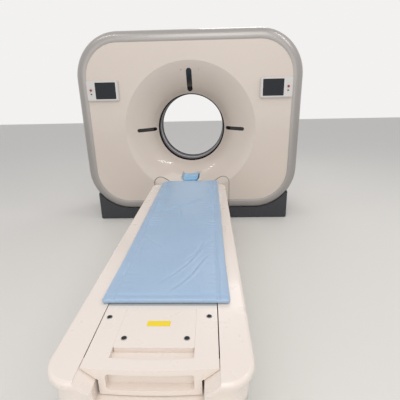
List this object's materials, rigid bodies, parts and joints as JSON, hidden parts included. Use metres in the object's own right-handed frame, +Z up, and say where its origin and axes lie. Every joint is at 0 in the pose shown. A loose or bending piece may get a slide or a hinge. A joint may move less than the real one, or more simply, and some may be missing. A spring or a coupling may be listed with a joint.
{
  "type": "ct scanner",
  "caption": "Ring-shaped gantry with a round bore and rotating drum, and a patient couch that lifts and slides into the bore.",
  "frame": {"origin": "on the floor under the middle of the machine's box", "axes": "+Z up, +Y from the couch's foot end to the gantry along the bore, +X to the right seen from the couch's foot end"},
  "size_m": [2.3, 3.5, 1.968],
  "materials": {
    "frame_paint": "satin grey paint on welded frame",
    "bearing_steel": "ground steel",
    "cover_white": "moulded warm-white cover, satin gloss",
    "rim_silver": "metallic silver lacquer on moulded rim",
    "plinth_dark": "dark grey textured plinth",
    "trim_black": "black moulded trim",
    "window_black": "black acrylic window",
    "liner_grey": "mid-grey bore liner",
    "window_film": "thin polymer scan window",
    "panel_bezel": "light grey panel housing",
    "screen_glass": "dark glass of the touch screen",
    "stop_red": "red mushroom button",
    "key_dark": "dark rubber key",
    "belt_rubber": "black rubber belt",
    "motor_paint": "slate grey paint",
    "drum_metal": "machined cast aluminium",
    "tube_metal": "satin cast housing",
    "lead_paint": "dark painted steel",
    "detector_black": "black anodised detector housing",
    "slip_brass": "brass tracks on the slip ring",
    "column_steel": "grey painted steel column",
    "shroud_grey": "light grey shroud",
    "couch_white": "glossy warm-white couch cover",
    "cradle_shell": "smooth composite shell",
    "mattress_vinyl": "light blue padded vinyl",
    "pad_vinyl": "brighter blue padded vinyl"
  },
  "bodies": {
    "root": {"base_frame": "frame_paint", "stator_frame": "frame_paint", "bearing_outer_race": "bearing_steel", "brush_block": "trim_black", "drive_motor": "motor_paint", "drive_belt": "belt_rubber", "front_cover": "cover_white", "front_cover_insert": "cover_white", "laser_windows": "window_black", "rear_cover": "cover_white", "front_rim": "rim_silver", "rear_rim": "rim_silver", "side_cover_left": "cover_white", "side_cover_right": "cover_white", "top_cover": "cover_white", "plinth_front": "plinth_dark", "plinth_rear": "plinth_dark", "plinth_left": "plinth_dark", "plinth_right": "plinth_dark", "bore_trim_front": "trim_black", "bore_liner": "liner_grey", "scan_window": "window_film", "bore_trim_rear": "trim_black", "panel_housing_left": "panel_bezel", "panel_housing_right": "panel_bezel", "touch_screen_left": "screen_glass", "touch_screen_right": "screen_glass", "couch_base": "column_steel", "lower_shroud": "shroud_grey", "column_sleeves": "column_steel"},
    "rotor": {"rotor_drum": "drum_metal", "bearing_inner_race": "bearing_steel", "xray_tube": "tube_metal", "collimator": "lead_paint", "hv_generator": "motor_paint", "power_unit": "motor_paint", "tube_cooler": "drum_metal", "counterweight": "lead_paint", "detector_arc": "detector_black", "slip_ring": "slip_brass"},
    "couch_top": {"upper_shroud": "shroud_grey", "column_rams": "column_steel", "couch_frame": "frame_paint", "guide_rails": "bearing_steel", "rail_left": "couch_white", "rail_right": "couch_white", "foot_cover": "couch_white"},
    "cradle": {"cradle": "cradle_shell", "carriage": "couch_white", "access_plate": "couch_white", "mattress": "mattress_vinyl", "head_holder": "cradle_shell", "head_pad": "pad_vinyl"},
    "couch_middle": {"mid_shroud": "shroud_grey", "column_middles": "column_steel"},
    "pulley": {"drive_pulley": "bearing_steel"},
    "stop_left": {"stop_button_left": "stop_red"},
    "stop_right": {"stop_button_right": "stop_red"},
    "key_left": {"panel_key_left": "key_dark"},
    "key_right": {"panel_key_right": "key_dark"}
  },
  "joints": [
    {"name": "couch_lift", "type": "slide", "parent": "root", "child": "couch_top", "axis": [0, 0, 1], "range_m": [0, 0.42]},
    {"name": "middle_lift", "type": "slide", "parent": "root", "child": "couch_middle", "axis": [0, 0, 1], "range_m": [0, 0.21]},
    {"name": "cradle_travel", "type": "slide", "parent": "couch_top", "child": "cradle", "axis": [0, 1, 0], "range_m": [0, 1.05]},
    {"name": "rotor_spin", "type": "hinge", "parent": "root", "child": "rotor", "pos_m": [0, 1.4225, 1.002], "axis": [0, 1, 0], "continuous": true},
    {"name": "pulley_spin", "type": "hinge", "parent": "root", "child": "pulley", "pos_m": [0.6, 1.4225, 0.26], "axis": [0, 1, 0], "continuous": true},
    {"name": "stop_left_press", "type": "slide", "parent": "root", "child": "stop_left", "axis": [0, 1, 0], "range_m": [0, 0.004], "stiffness_N_per_m": 2500},
    {"name": "stop_right_press", "type": "slide", "parent": "root", "child": "stop_right", "axis": [0, 1, 0], "range_m": [0, 0.004], "stiffness_N_per_m": 2500},
    {"name": "key_left_press", "type": "slide", "parent": "root", "child": "key_left", "axis": [0, 1, 0], "range_m": [0, 0.0015], "stiffness_N_per_m": 2000},
    {"name": "key_right_press", "type": "slide", "parent": "root", "child": "key_right", "axis": [0, 1, 0], "range_m": [0, 0.0015], "stiffness_N_per_m": 2000}
  ],
  "couplings": [
    {"joint": "middle_lift", "follows": "couch_lift", "ratio": 0.5},
    {"joint": "cradle_travel", "follows": "couch_lift", "ratio": 2.5},
    {"joint": "pulley_spin", "follows": "rotor_spin", "ratio": 13.167}
  ]
}
